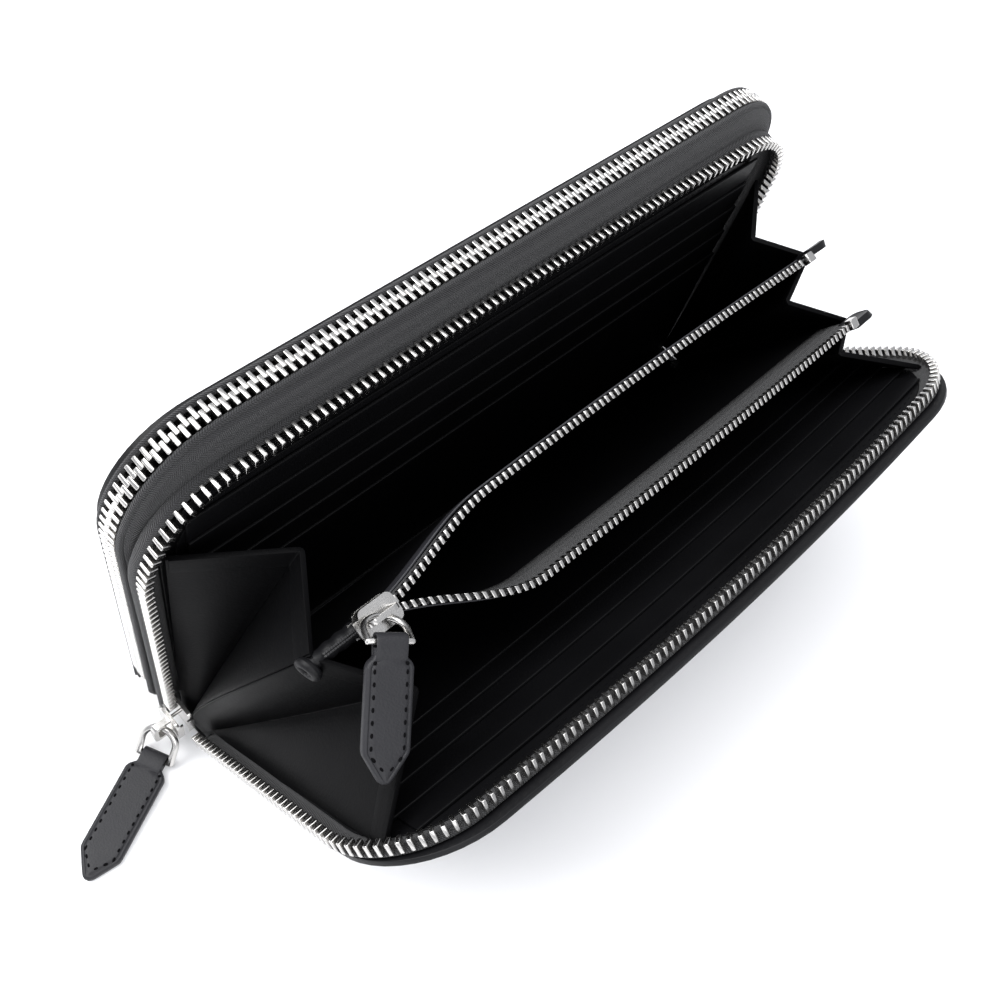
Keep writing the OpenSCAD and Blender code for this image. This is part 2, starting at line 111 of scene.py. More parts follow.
def on_rear_zip(x, r, n):
    """The open zip half in front of the divider: r up from its slider."""
    a = math.radians(-1.26)
    n = n + divider_bow(x, r)
    return (x, -7 - r * math.sin(a) - n * math.cos(a), 3 + r * math.cos(a) - n * math.sin(a))


def open_share(x):
    """0 where the pouch walls are sewn together, 1 where they stand fully apart."""
    return smooth((x - WALL_JOIN[0]) / (WALL_JOIN[1] - WALL_JOIN[0]))


def on_wall(side, x, r, n):
    """A pouch wall: n is away from the pouch's middle plane."""
    w = open_share(x)
    belly = 1.6 * math.sin(math.pi * min(1.0, max(0.0, (x + 72) / 158))) * (r / 77) ** 2
    turn = -MOUTH_BACK
    if side > 0:
        belly = 0.6 * belly
        turn = MOUTH_FRONT
    return leaf(LEAN_POUCH + turn * w, x, r, POUCH_N + side * (n + w * belly))


# ---------------------------------------------------------------- meshes

def link(obj, mat):
    bpy.context.scene.collection.objects.link(obj)
    obj.data.materials.append(mat)
    return obj


def mesh_object(name, verts, faces, mat, uvs=None, soft=True):
    mesh = bpy.data.meshes.new(name)
    mesh.from_pydata([(v[0] * MM, v[1] * MM, v[2] * MM) for v in verts], [], faces)
    if uvs is not None:
        layer = mesh.uv_layers.new(name="UVMap")
        for loop in mesh.loops:
            layer.data[loop.index].uv = uvs[loop.vertex_index]
    if soft:
        mesh.polygons.foreach_set("use_smooth", [True] * len(mesh.polygons))
    mesh.update()
    return link(bpy.data.objects.new(name, mesh), mat)


def grid(name, place, us, vs, mat, thick=0.0, offset=0.0, bevel=0.0, uv=None):
    """A sheet through place(u, v), thickened and with softened edges."""
    verts, uvs, faces = [], [], []
    for i, u in enumerate(us):
        for j, v in enumerate(vs):
            verts.append(place(u, v))
            uvs.append(uv(u, v) if uv else (u, v))
    m = len(vs)
    for i in range(len(us) - 1):
        for j in range(m - 1):
            a = i * m + j
            faces.append((a, a + m, a + m + 1, a + 1))
    obj = mesh_object(name, verts, faces, mat, uvs)
    thicken(obj, thick, offset, bevel)
    return obj


def thicken(obj, thick, offset=0.0, bevel=0.0):
    if thick:
        mod = obj.modifiers.new("thick", "SOLIDIFY")
        mod.thickness = thick * MM
        mod.offset = offset
    if bevel:
        mod = obj.modifiers.new("edge", "BEVEL")
        mod.width = bevel * MM
        mod.segments = 3
        mod.limit_method = "ANGLE"
        mod.angle_limit = math.radians(50)


def spread(a, b, count, ends=False):
    """count values from a to b, closer together at both ends if asked."""
    out = []
    for i in range(count):
        t = i / (count - 1)
        if ends:
            t = 0.5 - 0.5 * math.cos(math.pi * t)
        out.append(a + (b - a) * t)
    return out


def panel(name, place, w, h, r, foot, n, mat, thick, offset, bevel, cols=72, rows=14):
    """A sheet with round upper corners."""
    def top(x):
        over = abs(x) - (w / 2 - r)
        return h if over <= 0 else h - r + math.sqrt(max(0.0, r * r - over * over))

    xs = [-w / 2 + r - r * math.cos(math.pi / 2 * (1 - i / 12)) for i in range(12)]
    xs = [-w / 2 + r - r * math.cos(math.pi / 2 * i / 12) for i in range(12)]
    mid = spread(-w / 2 + r, w / 2 - r, cols - 24)
    xs = xs + mid + [-x for x in reversed(xs)]

    def at(x, t):
        return place(x, foot + (top(x) - foot) * t, n)

    return grid(name, at, xs, spread(0, 1, rows), mat, thick, offset, bevel,
                uv=lambda x, t: (x, foot + (top(x) - foot) * t))


def u_path(w, h, r, foot, count):
    """Points along three sides: (x, y, outward x, outward y, distance)."""
    side, arc, top = h - r - foot, math.pi * r / 2, w - 2 * r
    total = 2 * side + 2 * arc + top
    out = []
    for i in range(count):
        s = total * i / (count - 1)
        out.append(u_at(w, h, r, foot, s))
    return out, total


def u_at(w, h, r, foot, s):
    side, arc, top = h - r - foot, math.pi * r / 2, w - 2 * r
    if s < side:
        return (-w / 2, foot + s, -1.0, 0.0, s)
    if s < side + arc:
        a = math.pi - (s - side) / r
        return (-w / 2 + r + r * math.cos(a), h - r + r * math.sin(a), math.cos(a), math.sin(a), s)
    if s < side + arc + top:
        return (-w / 2 + r + s - side - arc, h, 0.0, 1.0, s)
    if s < side + 2 * arc + top:
        a = math.pi / 2 - (s - side - arc - top) / r
        return (w / 2 - r + r * math.cos(a), h - r + r * math.sin(a), math.cos(a), math.sin(a), s)
    return (w / 2, h - r - (s - side - 2 * arc - top), 1.0, 0.0, s)


def swept_tape(name, place, w, h, r, foot, profile, mat, thick=0.45, count=220):
    """Tape round three sides; profile points are (outwards, depth)."""
    path, _ = u_path(w, h, r, foot, count)
    lengths = [0.0]
    for a, b in zip(profile, profile[1:]):
        lengths.append(lengths[-1] + math.dist(a, b))

    def at(i, j):
        x, y, ox, oy = path[i][:4]
        u, v = profile[j]
        return place(x + ox * u, y + oy * u, v)

    return grid(name, at, range(count), range(len(profile)), mat, thick, 0.0, 0.0,
                uv=lambda i, j: (path[i][4], lengths[j]))


def tooth_template(bevel=0.22, segments=2):
    """A softened unit block from -0.5 to 0.5, with its bevel given in mm for a 1 x 3 x 2 block."""
    bm = bmesh.new()
    bmesh.ops.create_cube(bm, size=1.0)
    for v in bm.verts:
        v.co.x *= 2.2
        v.co.y *= 1.0
        v.co.z *= 2.9
    bmesh.ops.bevel(bm, geom=list(bm.edges), offset=bevel, segments=segments, profile=0.6, affect="EDGES")
    bm.verts.ensure_lookup_table()
    verts = [(v.co.x / 2.2, v.co.y, v.co.z / 2.9) for v in bm.verts]
    faces = [tuple(v.index for v in f.verts) for f in bm.faces]
    bm.free()
    return verts, faces


TOOTH = tooth_template()


def teeth(name, stations, mat, wide, tall, neck=0.0):
    """stations: functions from local (outwards, along, 0..1 from tip to root) to a place in mm."""
    verts, faces = [], []
    for place in stations:
        base = len(verts)
        for x, y, z in TOOTH[0]:
            share = 0.5 - z
            pinch = 1.0 - neck * smooth((share - 0.35) / 0.3)
            verts.append(place(x * tall * (1.0 if share < 0.5 else 0.92), y * wide * pinch, share))
        faces.extend(tuple(base + k for k in f) for f in TOOTH[1])
    return mesh_object(name, verts, faces, mat)


def zip_row(name, place, w, h, r, foot, pitch, phase, tip, root, mat, wide=1.05, tall=2.3, lift=0.0):
    side, arc, top = h - r - foot, math.pi * r / 2, w - 2 * r
    total = 2 * side + 2 * arc + top
    count = int(total / pitch)
    stations = []
    for i in range(count):
        s = (i + 0.25 + phase) * total / count
        x, y, ox, oy, _ = u_at(w, h, r, foot, s)

        def at(out, along, share, x=x, y=y, ox=ox, oy=oy):
            u = out + lift
            return place(x + ox * u + oy * along, y + oy * u - ox * along, tip + (root - tip) * share)

        stations.append(at)
    return teeth(name, stations, mat, wide, tall)


def stitch_run(name, points, normal, mat, pitch=2.4, length=1.5, radius=0.2, sink=0.05):
    """Stitches along a line of points in mm; normal is the way out of the leather."""
    pts = [Vector(p) for p in points]
    gaps = [(b - a).length for a, b in zip(pts, pts[1:])]
    total = sum(gaps)
    count = max(1, int(total / pitch))
    verts, faces = [], []
    out = Vector(normal).normalized()

    def along(s):
        for a, b, g in zip(pts, pts[1:], gaps):
            if s <= g or (b is pts[-1]):
                return a.lerp(b, max(0.0, min(1.0, s / g))), (b - a).normalized()
            s -= g

    for i in range(count):
        p, d = along((i + 0.5) * total / count)
        across = d.cross(out).normalized()
        base = len(verts)
        for j in range(5):
            t = -1 + j * 0.5
            swell = radius * math.sqrt(max(0.08, 1 - t * t * 0.92))
            for k in range(6):
                a = 2 * math.pi * k / 6
                verts.append(p + d * (t * length / 2) + across * (math.cos(a) * swell)
                             + out * (math.sin(a) * swell - sink - 0.12 * t * t))
        for j in range(4):
            for k in range(6):
                n = (k + 1) % 6
                faces.append((base + j * 6 + k, base + j * 6 + n, base + (j + 1) * 6 + n,
                              base + (j + 1) * 6 + k))
        faces.append(tuple(base + k for k in range(6)))
        faces.append(tuple(base + 24 + k for k in range(6)))
    return mesh_object(name, verts, faces, mat)


# ---------------------------------------------------------------- materials

def material(name, colour, rough, metallic=0.0):
    mat = bpy.data.materials.new(name)
    mat.use_nodes = True
    bsdf = mat.node_tree.nodes["Principled BSDF"]
    bsdf.inputs["Base Color"].default_value = (*colour, 1)
    bsdf.inputs["Roughness"].default_value = rough
    bsdf.inputs["Metallic"].default_value = metallic
    return mat, mat.node_tree, bsdf


def node(tree, kind, **values):
    n = tree.nodes.new(kind)
    for key, value in values.items():
        if hasattr(n, key):
            setattr(n, key, value)
        else:
            n.inputs[key].default_value = value
    return n


def math_node(tree, op, a, b=None):
    n = tree.nodes.new("ShaderNodeMath")
    n.operation = op
    for k, v in enumerate((a, b)):
        if v is None:
            continue
        if isinstance(v, (int, float)):
            n.inputs[k].default_value = v
        else:
            tree.links.new(v, n.inputs[k])
    return n.outputs[0]


def bump(tree, bsdf, height, strength, distance):
    n = tree.nodes.new("ShaderNodeBump")
    n.inputs["Strength"].default_value = strength
    n.inputs["Distance"].default_value = distance
    tree.links.new(height, n.inputs["Height"])
    tree.links.new(n.outputs["Normal"], bsdf.inputs["Normal"])


def coordinates(tree):
    return tree.nodes.new("ShaderNodeTexCoord").outputs["Object"]


def leather(name, colour, rough, grain=0.25, scale=1.0, tone=0.35, gloss=0.25):
    """Smooth calf leather: fine pebbles, shallow pores and uneven polish."""
    mat, tree, bsdf = material(name, colour, rough)
    where = coordinates(tree)
    pebble = node(tree, "ShaderNodeTexVoronoi", Scale=1500.0 * scale)
    pore = node(tree, "ShaderNodeTexNoise", Scale=2600.0 * scale, Detail=3.0)
    wave = node(tree, "ShaderNodeTexNoise", Scale=55.0, Detail=4.0)
    for n in (pebble, pore, wave):
        tree.links.new(where, n.inputs["Vector"])
    height = math_node(tree, "ADD", math_node(tree, "MULTIPLY", pebble.outputs["Distance"], 0.5),
                       math_node(tree, "MULTIPLY", pore.outputs[0], 0.4))
    height = math_node(tree, "ADD", height, math_node(tree, "MULTIPLY", wave.outputs[0], 1.3))
    bump(tree, bsdf, height, grain, 0.00025)
    spread_rough = math_node(tree, "ADD", math_node(tree, "MULTIPLY", wave.outputs[0], 0.16), rough - 0.08)
    tree.links.new(spread_rough, bsdf.inputs["Roughness"])
    ramp = tree.nodes.new("ShaderNodeMix")
    ramp.data_type = "RGBA"
    ramp.inputs[6].default_value = (*[c * (1 - tone) for c in colour], 1)
    ramp.inputs[7].default_value = (*[c * (1 + tone) for c in colour], 1)
    tree.links.new(wave.outputs[0], ramp.inputs[0])
    tree.links.new(ramp.outputs[2], bsdf.inputs["Base Color"])
    bsdf.inputs["Specular IOR Level"].default_value = gloss
    return mat


def woven(name, colour, band=1.3, twill=0.55):
    """Zip tape: herringbone bands that run along it."""
    mat, tree, bsdf = material(name, colour, 0.78)
    uv = tree.nodes.new("ShaderNodeUVMap")
    split = tree.nodes.new("ShaderNodeSeparateXYZ")
    tree.links.new(uv.outputs[0], split.inputs[0])
    along, across = split.outputs[0], split.outputs[1]
    fold = math_node(tree, "PINGPONG", across, band)
    phase = math_node(tree, "MULTIPLY", math_node(tree, "ADD", along, fold), 2 * math.pi / twill)
    rib = math_node(tree, "ADD", math_node(tree, "MULTIPLY", math_node(tree, "SINE", phase), 0.5), 0.5)
    yarn = math_node(tree, "MULTIPLY", math_node(tree, "SINE",
                                                 math_node(tree, "MULTIPLY", across, 2 * math.pi / 0.32)),
                     0.18)
    bump(tree, bsdf, math_node(tree, "ADD", rib, yarn), 0.9, 0.0003)
    # The colour follows the rib height of the bump, darker in the grooves and lighter on the ribs: painted
    # shade and painted highlight.
    mix = tree.nodes.new("ShaderNodeMix")
    mix.data_type = "RGBA"
    mix.inputs[6].default_value = (*[c * 0.25 for c in colour], 1)
    mix.inputs[7].default_value = (*[c * 2.6 for c in colour], 1)
    tree.links.new(rib, mix.inputs[0])
    tree.links.new(mix.outputs[2], bsdf.inputs["Base Color"])
    bsdf.inputs["Sheen Weight"].default_value = 0.12
    return mat


def metal(name, colour, rough):
    mat, tree, bsdf = material(name, colour, rough, 1.0)
    where = coordinates(tree)
    wear = node(tree, "ShaderNodeTexNoise", Scale=420.0, Detail=5.0)
    tree.links.new(where, wear.inputs["Vector"])
    tree.links.new(math_node(tree, "ADD", math_node(tree, "MULTIPLY", wear.outputs[0], 0.14), rough - 0.05),
                   bsdf.inputs["Roughness"])
    bump(tree, bsdf, wear.outputs[0], 0.06, 0.0002)
    return mat


def thread(name, colour):
    mat, tree, bsdf = material(name, colour, 0.85)
    bsdf.inputs["Specular IOR Level"].default_value = 0.05
    where = coordinates(tree)
    ply = node(tree, "ShaderNodeTexWave", Scale=900.0, Distortion=1.0)
    tree.links.new(where, ply.inputs["Vector"])
    bump(tree, bsdf, ply.outputs[1], 0.4, 0.0001)
    return mat


BLACK = leather("leather_outer", (0.0050, 0.0050, 0.0058), 0.46, 0.22, gloss=0.2)
INNER = leather("leather_inner", (0.0022, 0.0022, 0.0026), 0.5, 0.18, gloss=0.1)
# The gussets get a darker copy of the inner leather: painted shade of the recess they sit in.
GUSSET_SHADED = leather("leather_gusset_painted_shade", (0.0018, 0.0018, 0.0021), 0.5, 0.2, gloss=0.06)
PULL = leather("leather_pull", (0.0150, 0.0150, 0.0175), 0.5, 0.3, 1.4, gloss=0.3)
# Lighter, bluish leather for the coin pouch's hems: a painted highlight where the rolled hem catches the
# sky.
HEM_HIGHLIGHT = leather("hem_painted_highlight", (0.034, 0.034, 0.039), 0.34, 0.08, gloss=0.4)
TAPE = woven("zip_tape", (0.0095, 0.0095, 0.0108))
METAL = metal("silver_plating", (0.55, 0.54, 0.525), 0.22)
THREAD = thread("thread", (0.0025, 0.0025, 0.003))


def put(obj, body, *nodes, slot="black_leather"):
    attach(obj, body)
    if nodes:
        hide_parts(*nodes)
    return obj


# ---------------------------------------------------------------- back half: covers and divider

root = "back_half"
put(panel("back_cover_leather", lambda x, z, n: (x,
                                                 n + 0.5 * (1 - (x / 98) ** 2) * math.sin(math.pi * min(1,
                                                         z / 102)), z),
          195, 102, 22, 2.0, 13.7, BLACK, 1.7, 1.0, 0.7), root, "back_cover")
put(panel("back_lining_leather", upright, 188, 93, 16, 2.4, -11.6, INNER, 0.6, 0, 0.15), root,
    "back_lining", slot="lining")
put(panel("divider_leather", upright, 187.4, 97.5, 19, 2.0, 0.0, INNER, 1.1, 0, 0.4), root, "divider")
put(panel("divider_back_leather", upright, 182, 88, 16, 3, -0.85, INNER, 0.45, 0, 0.1), root,
    "divider_back_lining", slot="lining")
put(panel("divider_front_leather", upright, 180.5, 92.2, 14, 3, 0.8, INNER, 0.5, 0, 0.18), root,
    "divider_lining", slot="lining")


def spine_point(x, t):
    """Round the foot: up the back, along the floor, up the front lip."""
    path = [(13.0, 8.0), (13.0, 4.0), (12.7, 2.4), (11.9, 1.3), (10.6, 0.8), (0, 0.8), (-14.6, 0.8),
            (-15.7, 1.1), (-16.3, 1.9), (-16.4, 3.0), (-16.45, 4.2), (-16.5, 5.4)]
    y, z = path[t]
    return (x, y, z)


put(grid("spine_leather", spine_point, spread(-96, 96, 40), range(12), BLACK, 1.3, 0, 0.4), root, "spine")
put(grid("spine_lining_leather", lambda x, y: (x, y, 2.15 + 0.5 * ((y + 8) / 7.4) ** 4),
         spread(-94.5, 94.5, 40),
         spread(-15.4, -0.9, 9), INNER, 0.5, 0, 0), root, "spine_lining", slot="lining")


def fold_strip(name, first, last, body_a, body_b, *nodes):
    """The soft leather between the spine's lip and the cover, in two halves."""
    lip, bulge, foot = Vector((0, -16.5, 4.6)), Vector((0, -17.6, 7.4)), Vector(leaf(LEAN_COVER, 0, 3.6,
                                                                                     0.55))

    def at(x, t):
        k = first + (last - first) * t
        p = lip * (1 - k) ** 2 + bulge * 2 * k * (1 - k) + foot * k ** 2
        return (x, p.y, p.z)
    obj = grid(name, at, spread(-96, 96, 40), spread(0, 1, 9), BLACK, 1.25, 0, 0.0)
    if nodes:
        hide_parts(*nodes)
    a = at(0, 0)
    b = at(0, 1)
    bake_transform(obj)


fold_strip("fold_leather_rear", 0.0, 0.5, "back_half", "coin_pouch", "front_fold")
fold_strip("fold_leather_front", 0.5, 1.0, "coin_pouch", "front_cover")


# ---------------------------------------------------------------- long zips

def quarter(reach, depth, side, steps=9, rise=0.0):
    out = []
    for i in range(steps):
        a = math.pi / 2 * i / (steps - 1)
        out.append((reach * (math.cos(a) - 1) + rise * math.sin(2 * a), side * depth * math.sin(a)))
    return out


def back_zip(side, phase, tape_node, teeth_node):
    centre = -BACK_ZIP_Y
    root_n = centre + side * 2.3
    profile = [(u, root_n + v) for u, v in quarter(8.2, 3.05, side, 10, 0.5)]
    put(swept_tape("tape_" + tape_node, upright, ZIP_W, 106.9, 24, 4 if side < 0 else 4, profile, TAPE),
        root, tape_node, slot="tape")
    cord = [(0.1, root_n + side * 0.15), (0.75, root_n + side * 0.5), (0.55, root_n + side * 1.1),
            (-0.2, root_n + side * 1.3)]
    put(swept_tape("cord_" + tape_node, upright, ZIP_W, 106.9, 24, 6, cord, TAPE, 0.3), root, slot="tape")
    put(zip_row("row_" + teeth_node, upright, ZIP_W, 106.9, 24, 14, 2.1, phase, centre - side * 0.62,
                root_n + side * 0.1, METAL, 1.0, 2.3), root, teeth_node, slot="silver_metal")


back_zip(-1, 0.5, "back_zip_tape_rear", "back_zip_teeth_rear")
back_zip(1, 0.0, "back_zip_tape_front", "back_zip_teeth_front")

rear_profile = [(0.0, -3.3), (0.55, -3.7), (0.95, -4.3), (1.1, -5.0), (0.9, -5.7), (0.2, -6.3), (-1.2, -6.6),
                (-3.2, -6.65), (-5.4, -6.6)]
put(swept_tape("tape_front_rear", on_rear_zip, ZIP_W, REAR_H, 21, 3, rear_profile, TAPE), root,
    "front_zip_tape_rear", slot="tape")
put(zip_row("row_front_rear", on_rear_zip, ZIP_W, REAR_H, 21, 11, 2.1, 0.0, -0.45, -3.45, METAL, 0.92,
            2.25), root,
    "front_zip_teeth_rear", slot="silver_metal")

cover_profile = [(0.7, -1.0), (0.0, -1.15), (-1.2, -1.2), (-2.4, -1.0), (-3.6, -0.75), (-4.6, -0.55)]
put(swept_tape("tape_front_cover", on_cover, ZIP_W, COVER_H, COVER_R, 5.0, cover_profile, TAPE),
    "front_cover",
    "front_zip_tape_cover", slot="tape")
put(zip_row("row_front_cover", on_cover, ZIP_W, COVER_H, COVER_R, 4.2, 2.1, 0.5, -4.1, -1.15, METAL, 0.92,
            2.25),
    "front_cover", "front_zip_teeth_cover", slot="silver_metal")

# ---------------------------------------------------------------- front cover

put(panel("front_cover_leather", on_cover, 197.4, 95.2, 23.4, 2.2, 0.55, BLACK, 1.3, 0, 0.45),
    "front_cover", "front_cover")
put(panel("cover_lining_leather", on_cover, 189.6, 88.0, 18.5, 3.6, -0.75, INNER, 0.7, 0, 0.25),
    "front_cover",
    "cover_lining", slot="lining")


def pocket(name, place, half, foot, top, n0, mat, body, cad):
    """One pocket leaf: its upper edge is turned and creased, with a row of fine stitches under it."""
    def at(x, t):
        r = foot + (top - foot) * t
        lift = 0.32 * smooth((t - 0.9) / 0.1)
        return place(x, r, n0 - lift if place is on_cover else n0 + lift)

    obj = grid(name, at, spread(-half, half, 60), [0, 0.3, 0.6, 0.8, 0.9, 0.94, 0.97, 0.99, 1.0], mat, 0.75,
               0, 0.22,
               uv=lambda x, t: (x, foot + (top - foot) * t))
    put(obj, body, cad)
    return obj


DIVIDER_TOPS = [90, 82, 73.5, 64.5, 55.5]
COVER_TOPS = [84.8, 77.9, 71.2, 65, 58.8]
for k in range(5):
    n0 = 1.25 + 0.42 * k
    pocket(f"divider_leaf_{k + 1}", on_divider, 88.0, 4, DIVIDER_TOPS[k], n0, INNER, root,
           f"divider_pocket_{k + 1}")
    line = [on_divider(x, DIVIDER_TOPS[k] - 2.2, n0 + 0.55) for x in spread(-86.5, 86.5, 24)]
    put(stitch_run(f"divider_stitch_{k + 1}", line, (0, -1, 0), THREAD, 2.2, 1.4, 0.16), root)
    n1 = -1.25 - 0.42 * k
    pocket(f"cover_leaf_{k + 1}", on_cover, 87.5 if k == 0 else 92.0, 5, COVER_TOPS[k], n1, INNER,
           "front_cover", f"cover_pocket_{k + 1}")
    normal = Vector((0, math.cos(math.radians(LEAN_COVER)), math.sin(math.radians(LEAN_COVER))))
    line = [on_cover(x, COVER_TOPS[k] - 2.2, n1 - 0.55) for x in spread(-86, 86, 24)]
    put(stitch_run(f"cover_stitch_{k + 1}", line, normal, THREAD, 2.2, 1.4, 0.16), "front_cover")


def round_run(place, w, h, r, foot, n, count=120):
    path, _ = u_path(w, h, r, foot, count)
    return [place(p[0], p[1], n) for p in path]


cover_normal = (0, math.cos(math.radians(LEAN_COVER)), math.sin(math.radians(LEAN_COVER)))
put(stitch_run("cover_border_stitch", round_run(on_cover, 186.6, 86.5, 17, 8, -1.12), cover_normal, THREAD,
               2.4, 1.6,
               0.17), "front_cover")
put(stitch_run("divider_border_stitch", round_run(on_divider, 177.8, 90.9, 13, 8, 1.08), (0, -1, 0), THREAD,
               2.4, 1.6,
               0.17), root)
back_normal = (0, 1, 0)
put(stitch_run("back_cover_stitch", [(p[0], 13.75 + 0.5 * (1 - (p[0] / 98) ** 2) * math.sin(math.pi * min(1,
        p[2] / 102)), p[2])
                                     for p in round_run(upright, 189, 99, 19.5, 9, -13.7)],
               back_normal, THREAD, 2.8, 1.9, 0.22), root)
put(stitch_run("front_cover_stitch", round_run(on_cover, 191, 92.2, 20.6, 9, 1.22),
               tuple(-c for c in cover_normal), THREAD,
               2.8, 1.9, 0.22), "front_cover")

# ---------------------------------------------------------------- coin pouch


def wall(side, cad, name):
    xs = spread(-84, 86, 96)
    n0 = 1.05
    rs = [2.5, 12, 24, 36, 46, 54, 60, 64, 67, 69, 70.3, 71.0]
    obj = grid(f"{name}_leather", lambda x, r: on_wall(side, x, r, n0 * (0.55 + 0.45 * open_share(x))), xs,
               rs, INNER,
               0.75, 0, 0.22)
    bend_wall(obj)
    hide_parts(cad)
    return obj


def bend_wall(obj):
    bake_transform(obj)


def wall_zip(side, body, tag):
    def near(x):
        return 0.45 + 0.55 * open_share(x)

    tape = grid(f"coin_tape_{tag}_weave", lambda x, r: on_wall(side, x, r, 0.6 * near(x)),
                spread(-82, 83, 96),
                [64, 68, 71, 73, 75, 76.4], TAPE, 0.35, 0, 0)
    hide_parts(f"coin_tape_{tag}")
    bend_wall(tape)
    # The hem strip uses the lighter hem leather: a painted highlight along the pouch's mouth.
    hem = grid(f"coin_wall_hem_{tag}", lambda x, r: on_wall(side, x, r, 1.5 * near(x)), spread(-66, 86, 90),
               [67.6, 69.6, 71.6, 72.4], HEM_HIGHLIGHT, 0.5, 0, 0.15)
    bend_wall(hem)
    pitch = 1.7
    count = int(143 / pitch)
    stations = []
    for i in range(count):
        x0 = -64.5 + (i + (0.5 if side > 0 else 0)) * pitch

        def at(out, along, share, x0=x0):
            return on_wall(side, x0 + along, 76.6 + out,
                           0.62 * near(x0) + 0.45 - (2.0 - 1.0) * (1 - share) * 1.75)

        stations.append(at)
    row = teeth(f"coin_row_{tag}", stations, METAL, 0.85, 1.9)
    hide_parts(f"coin_teeth_{tag}")
    bend_wall(row)
    stop = teeth(f"coin_stop_{tag}_metal", [lambda o, a,
                                            s: on_wall(side, 80.6 + a, 76.5 + o, 1.5 - 2.6 * (1 - s))],
                 METAL, 2.8, 2.3)
    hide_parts(f"coin_stop_{tag}")
    put(stop, body, slot="silver_metal")


def wall_tab(side, body, tag):
    """Rounded leather tab folded over the tape's end."""
    ts = spread(0, 1, 12)

    def at(u, v):
        x = 81.5 + 8.5 * u
        half = 3.0 * math.sqrt(max(0.02, 1 - max(0.0, (u - 0.55) / 0.45) ** 2))
        return on_wall(side, x, 74.2 + half * (2 * v - 1), 1.1 + 0.35 * math.sin(math.pi * v))

    obj = grid(f"pouch_tab_{tag}_leather", at, ts, spread(0, 1, 7), BLACK, 1.9, 0, 0.5)
    put(obj, body, f"pouch_tab_{tag}")


for side, body, tag in ((-1, "pouch_back_wall", "back"), (1, "pouch_front_wall", "front")):
    wall(side, f"pouch_wall_{tag}", f"pouch_wall_{tag}")
    wall_zip(side, body, tag)
    wall_tab(side, body, tag)


def mid(x, r, n):
    return leaf(LEAN_POUCH, x, r, POUCH_N + n)


put(grid("pouch_base_leather", lambda x, t: mid(x, 3.4 - 3.2 * math.sin(math.pi * t / 10),
                                                1.6 * math.cos(math.pi * t / 10)),
         spread(-84, 86, 40), range(11), INNER, 0.7, 0, 0), "coin_pouch", "pouch_base")


def sleeve(x, t):
    """Rolled leather sleeve that carries both tapes to the left end of the mouth."""
    a = 2 * math.pi * t
    k = (x + 88) / 24
    rx = 1.9 + 0.5 * smooth(k) + 0.18 * math.sin(x * 2.1)
    return mid(x, 73.6 + rx * 1.15 * math.sin(a), rx * 0.85 * math.cos(a))


put(grid("pouch_sleeve_leather", sleeve, spread(-86, -66, 26), spread(0, 1, 17), BLACK, 0.5, -1, 0),
    "coin_pouch",
    "pouch_sleeve")


def knot(t, s):
    """A short wrapped knot at the sleeve's end."""
    a, b = 2 * math.pi * t, 2 * math.pi * s
    ring = 2.0 + 1.0 * math.cos(b)
    return mid(-85.2 + 1.1 * math.sin(b) + 0.5 * math.cos(a), 73.4 + ring * math.sin(a),
               0.6 + ring * math.cos(a))


put(grid("pouch_knot_leather", knot, spread(0, 1, 25), spread(0, 1, 13), BLACK, 0, 0, 0), "coin_pouch",
    "pouch_knot")

# ---------------------------------------------------------------- gussets


def bezier(points, t):
    pts = [Vector(p) for p in points]
    while len(pts) > 1:
        pts = [a.lerp(b, t) for a, b in zip(pts, pts[1:])]
    return pts[0]


# How far, in mm, the middle of a gusset leaf bulges outwards
GUSSET_BELLY = 0.9


def fold_sheet(name, lines, mat, rows=22, cols=13):
    """A pleated sheet through several edge or crease lines; each line is control points from foot to top."""
    us, count = [], len(lines) - 1

    def at(u, v):
        k = min(count - 1, int(u))
        f = u - k
        a = bezier(lines[k], v)
        b = bezier(lines[k + 1], v)
        p = a.lerp(b, f)
        belly = GUSSET_BELLY * math.sin(math.pi * f) * math.sin(math.pi * v)
        return tuple(p + Vector((math.copysign(belly, p.x), 0, 0)))

    for k in range(count):
        us += [k + t for t in spread(0, 1, cols)[: -1]]
    us.append(count)
    obj = grid(name, at, us, spread(0, 1, rows), mat, 0.75, 0, 0.2)
    return obj, at


def hem_band(name, at, count, mat, width=0.055):
    """The turned hem along a gusset's upper edge."""
    us = spread(0.02, count - 0.02, 26 * count)
    return grid(name, lambda u, v: at(u, v), us, [1 - width, 1 - width * 0.66, 1 - width * 0.33, 1.0], mat,
                1.25, 0, 0.2)


def stitch_on(name, at, u0, u1, v, normal, count=14):
    return stitch_run(name, [at(u, v) for u in spread(u0, u1, count)], normal, THREAD, 2.3, 1.5, 0.18, -0.3)


def gusset(name, lines, cad, start, end, normals):
    """A gusset with its hem and stitches."""
    made = []
    obj, at = fold_sheet(f"{name}_leather", lines, GUSSET_SHADED)
    if cad:
        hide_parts(cad)
    made.append(obj)
    made.append(hem_band(f"{name}_hem", at, len(lines) - 1, GUSSET_SHADED))
    for k, normal in enumerate(normals):
        for row, v in enumerate((0.972, 0.948)):
            made.append(stitch_on(f"{name}_stitch_{k}_{row}", at, k + 0.08, k + 0.92, v, normal))
    for part in made:
        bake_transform(part)


